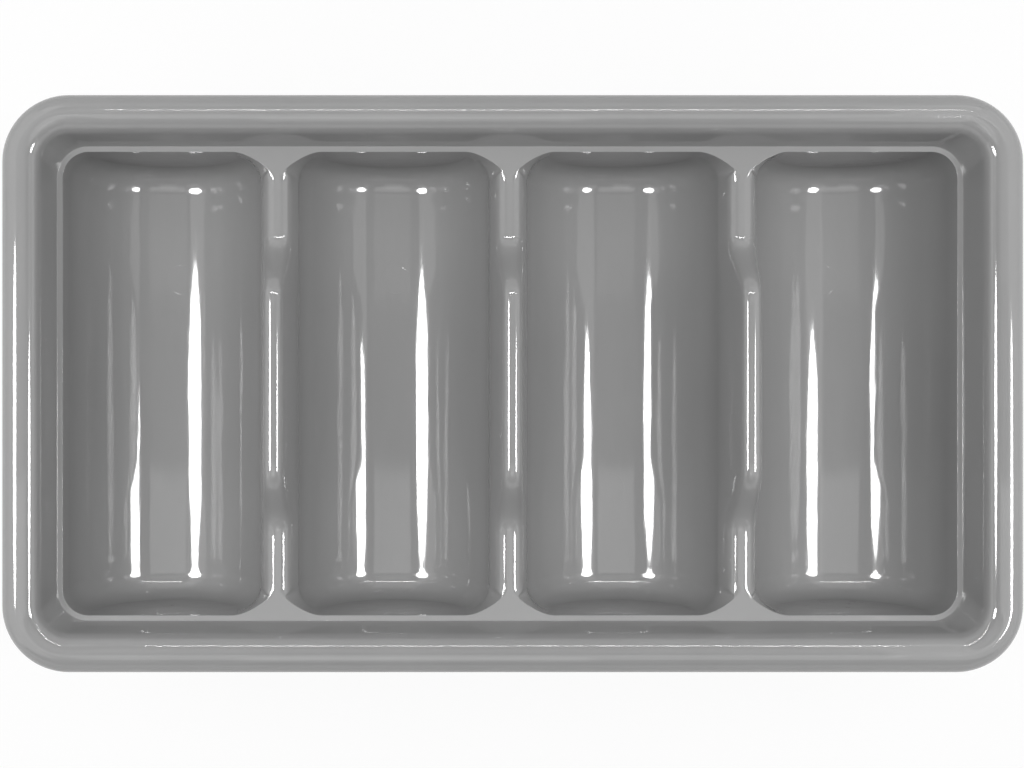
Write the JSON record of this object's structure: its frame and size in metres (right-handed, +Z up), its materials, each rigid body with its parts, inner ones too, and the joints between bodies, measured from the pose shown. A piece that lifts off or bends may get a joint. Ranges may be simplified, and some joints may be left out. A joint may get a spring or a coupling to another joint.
{
  "type": "cutlery tray",
  "caption": "Open grey plastic tray with a rolled rim and parallel round-bottomed compartments that hold sorted table cutlery for self service.",
  "frame": {"origin": "centre of the footprint on the surface that the tray stands on", "axes": "+X along the tray's length, across the compartments, +Y along the compartments, +Z up"},
  "size_m": [0.53, 0.3, 0.1],
  "materials": {
    "grey_plastic": "moulded gloss"
  },
  "bodies": {
    "root": {"rim": "grey_plastic", "upper_wall": "grey_plastic", "stacking_ledge": "grey_plastic", "ledge_corners": "grey_plastic", "wall_corners": "grey_plastic", "compartment_1": "grey_plastic", "compartment_2": "grey_plastic", "compartment_3": "grey_plastic", "compartment_4": "grey_plastic", "straight_wall_1": "grey_plastic", "straight_wall_2": "grey_plastic", "straight_wall_3": "grey_plastic", "straight_wall_4": "grey_plastic", "divider_1": "grey_plastic", "divider_2": "grey_plastic", "divider_3": "grey_plastic", "flare_1": "grey_plastic", "flare_2": "grey_plastic", "flare_3": "grey_plastic"}
  },
  "joints": []
}
